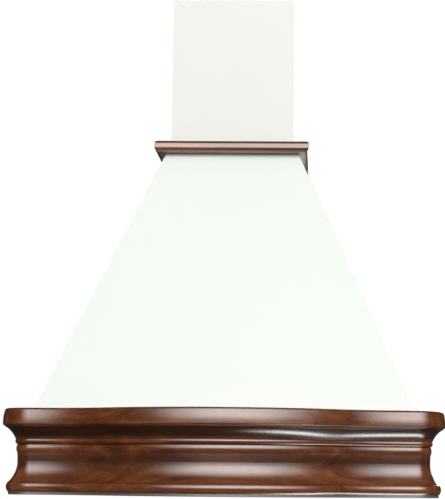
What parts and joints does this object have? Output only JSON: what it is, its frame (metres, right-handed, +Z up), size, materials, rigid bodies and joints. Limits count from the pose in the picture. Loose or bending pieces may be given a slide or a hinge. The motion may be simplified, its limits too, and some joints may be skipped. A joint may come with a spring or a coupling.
{
  "type": "wooden range hood cover",
  "caption": "Wall-hung country range hood cover: bow-front moulded wooden band, sloping steel dome, wooden collar and telescopic chimney round an extractor with hinged filters.",
  "frame": {"origin": "on the wall plane, on the centre line, level with the lower edge of the wooden band", "axes": "+X to the viewer's right, +Y into the wall, +Z up"},
  "size_m": [0.912, 0.554, 1.1],
  "materials": {
    "lacquered_wood": "glossy dark walnut lacquer",
    "plain_wood": "plain sawn and planed",
    "white_paint": "white powder coat, fine texture",
    "zinc_steel": "zinc plated",
    "tray_steel": "brushed",
    "dark_plastic": "moulded",
    "filter_aluminium": "satin",
    "latch_plastic": "moulded",
    "chrome_trim": "polished",
    "lamp_glass": "frosted",
    "button_plastic": "glossy"
  },
  "bodies": {
    "hood": {"lip_front": "lacquered_wood", "lip_left": "lacquered_wood", "lip_right": "lacquered_wood", "bed_mould_front": "lacquered_wood", "bed_mould_left": "lacquered_wood", "bed_mould_right": "lacquered_wood", "base_mould_front": "lacquered_wood", "base_mould_left": "lacquered_wood", "base_mould_right": "lacquered_wood", "collar_front": "lacquered_wood", "collar_left": "lacquered_wood", "collar_right": "lacquered_wood", "corner_blocks": "plain_wood", "rear_rail": "plain_wood", "dome_front": "white_paint", "dome_left": "white_paint", "dome_right": "white_paint", "chimney_lower": "white_paint", "dome_seams": "zinc_steel", "chimney_bracket": "zinc_steel", "wall_frame": "zinc_steel", "hang_straps": "zinc_steel", "plenum": "zinc_steel", "motor_box": "zinc_steel", "outlet_spigot": "zinc_steel", "flap_pins": "zinc_steel", "filter_rod": "zinc_steel", "dome_screws": "zinc_steel", "tray_screws": "zinc_steel", "under_tray": "tray_steel", "fan_scroll": "dark_plastic", "terminal_box": "dark_plastic", "cable_gland": "dark_plastic", "control_panel": "dark_plastic", "fan_motor": "filter_aluminium", "lamp_housings": "filter_aluminium", "lamp_bezels": "chrome_trim", "lamp_lenses": "lamp_glass"},
    "upper_chimney": {"chimney_upper": "white_paint"},
    "filter_left": {"filter_frame_left": "filter_aluminium", "filter_mesh_left": "filter_aluminium"},
    "filter_right": {"filter_frame_right": "filter_aluminium", "filter_mesh_right": "filter_aluminium"},
    "latch_left": {"filter_latch_left": "latch_plastic"},
    "latch_right": {"filter_latch_right": "latch_plastic"},
    "impeller": {"fan_impeller": "dark_plastic", "fan_shaft": "zinc_steel"},
    "flap_front": {"flap_front": "dark_plastic"},
    "flap_rear": {"flap_rear": "dark_plastic"},
    "button_off": {"button_off": "button_plastic"},
    "button_low": {"button_low": "button_plastic"},
    "button_high": {"button_high": "button_plastic"},
    "button_lamp": {"button_lamp": "button_plastic"}
  },
  "joints": [
    {"name": "chimney_slide", "type": "slide", "parent": "hood", "child": "upper_chimney", "axis": [0, 0, 1], "range_m": [0, 0.25]},
    {"name": "filter_left_hinge", "type": "hinge", "parent": "hood", "child": "filter_left", "pos_m": [-0.13475, -0.097, 0.0035], "axis": [1, 0, 0], "range_deg": [0, 75]},
    {"name": "filter_right_hinge", "type": "hinge", "parent": "hood", "child": "filter_right", "pos_m": [0.13475, -0.097, 0.0035], "axis": [1, 0, 0], "range_deg": [0, 75]},
    {"name": "latch_left_slide", "type": "slide", "parent": "filter_left", "child": "latch_left", "axis": [0, 1, 0], "range_m": [0, 0.006], "stiffness_N_per_m": 300, "springref_m": -0.004},
    {"name": "latch_right_slide", "type": "slide", "parent": "filter_right", "child": "latch_right", "axis": [0, 1, 0], "range_m": [0, 0.006], "stiffness_N_per_m": 300, "springref_m": -0.004},
    {"name": "impeller_spin", "type": "hinge", "parent": "hood", "child": "impeller", "pos_m": [0, -0.165, 0.236], "axis": [1, 0, 0], "continuous": true},
    {"name": "flap_front_hinge", "type": "hinge", "parent": "hood", "child": "flap_front", "pos_m": [0, -0.129, 0.425], "axis": [-1, 0, 0], "range_deg": [0, 75]},
    {"name": "flap_rear_hinge", "type": "hinge", "parent": "hood", "child": "flap_rear", "pos_m": [0, -0.121, 0.425], "axis": [1, 0, 0], "range_deg": [0, 75]},
    {"name": "button_off_press", "type": "slide", "parent": "hood", "child": "button_off", "axis": [0, 0, 1], "range_m": [0, 0.002], "stiffness_N_per_m": 800, "springref_m": -0.001},
    {"name": "button_low_press", "type": "slide", "parent": "hood", "child": "button_low", "axis": [0, 0, 1], "range_m": [0, 0.002], "stiffness_N_per_m": 800, "springref_m": -0.001},
    {"name": "button_high_press", "type": "slide", "parent": "hood", "child": "button_high", "axis": [0, 0, 1], "range_m": [0, 0.002], "stiffness_N_per_m": 800, "springref_m": -0.001},
    {"name": "button_lamp_press", "type": "slide", "parent": "hood", "child": "button_lamp", "axis": [0, 0, 1], "range_m": [0, 0.002], "stiffness_N_per_m": 800, "springref_m": -0.001}
  ]
}
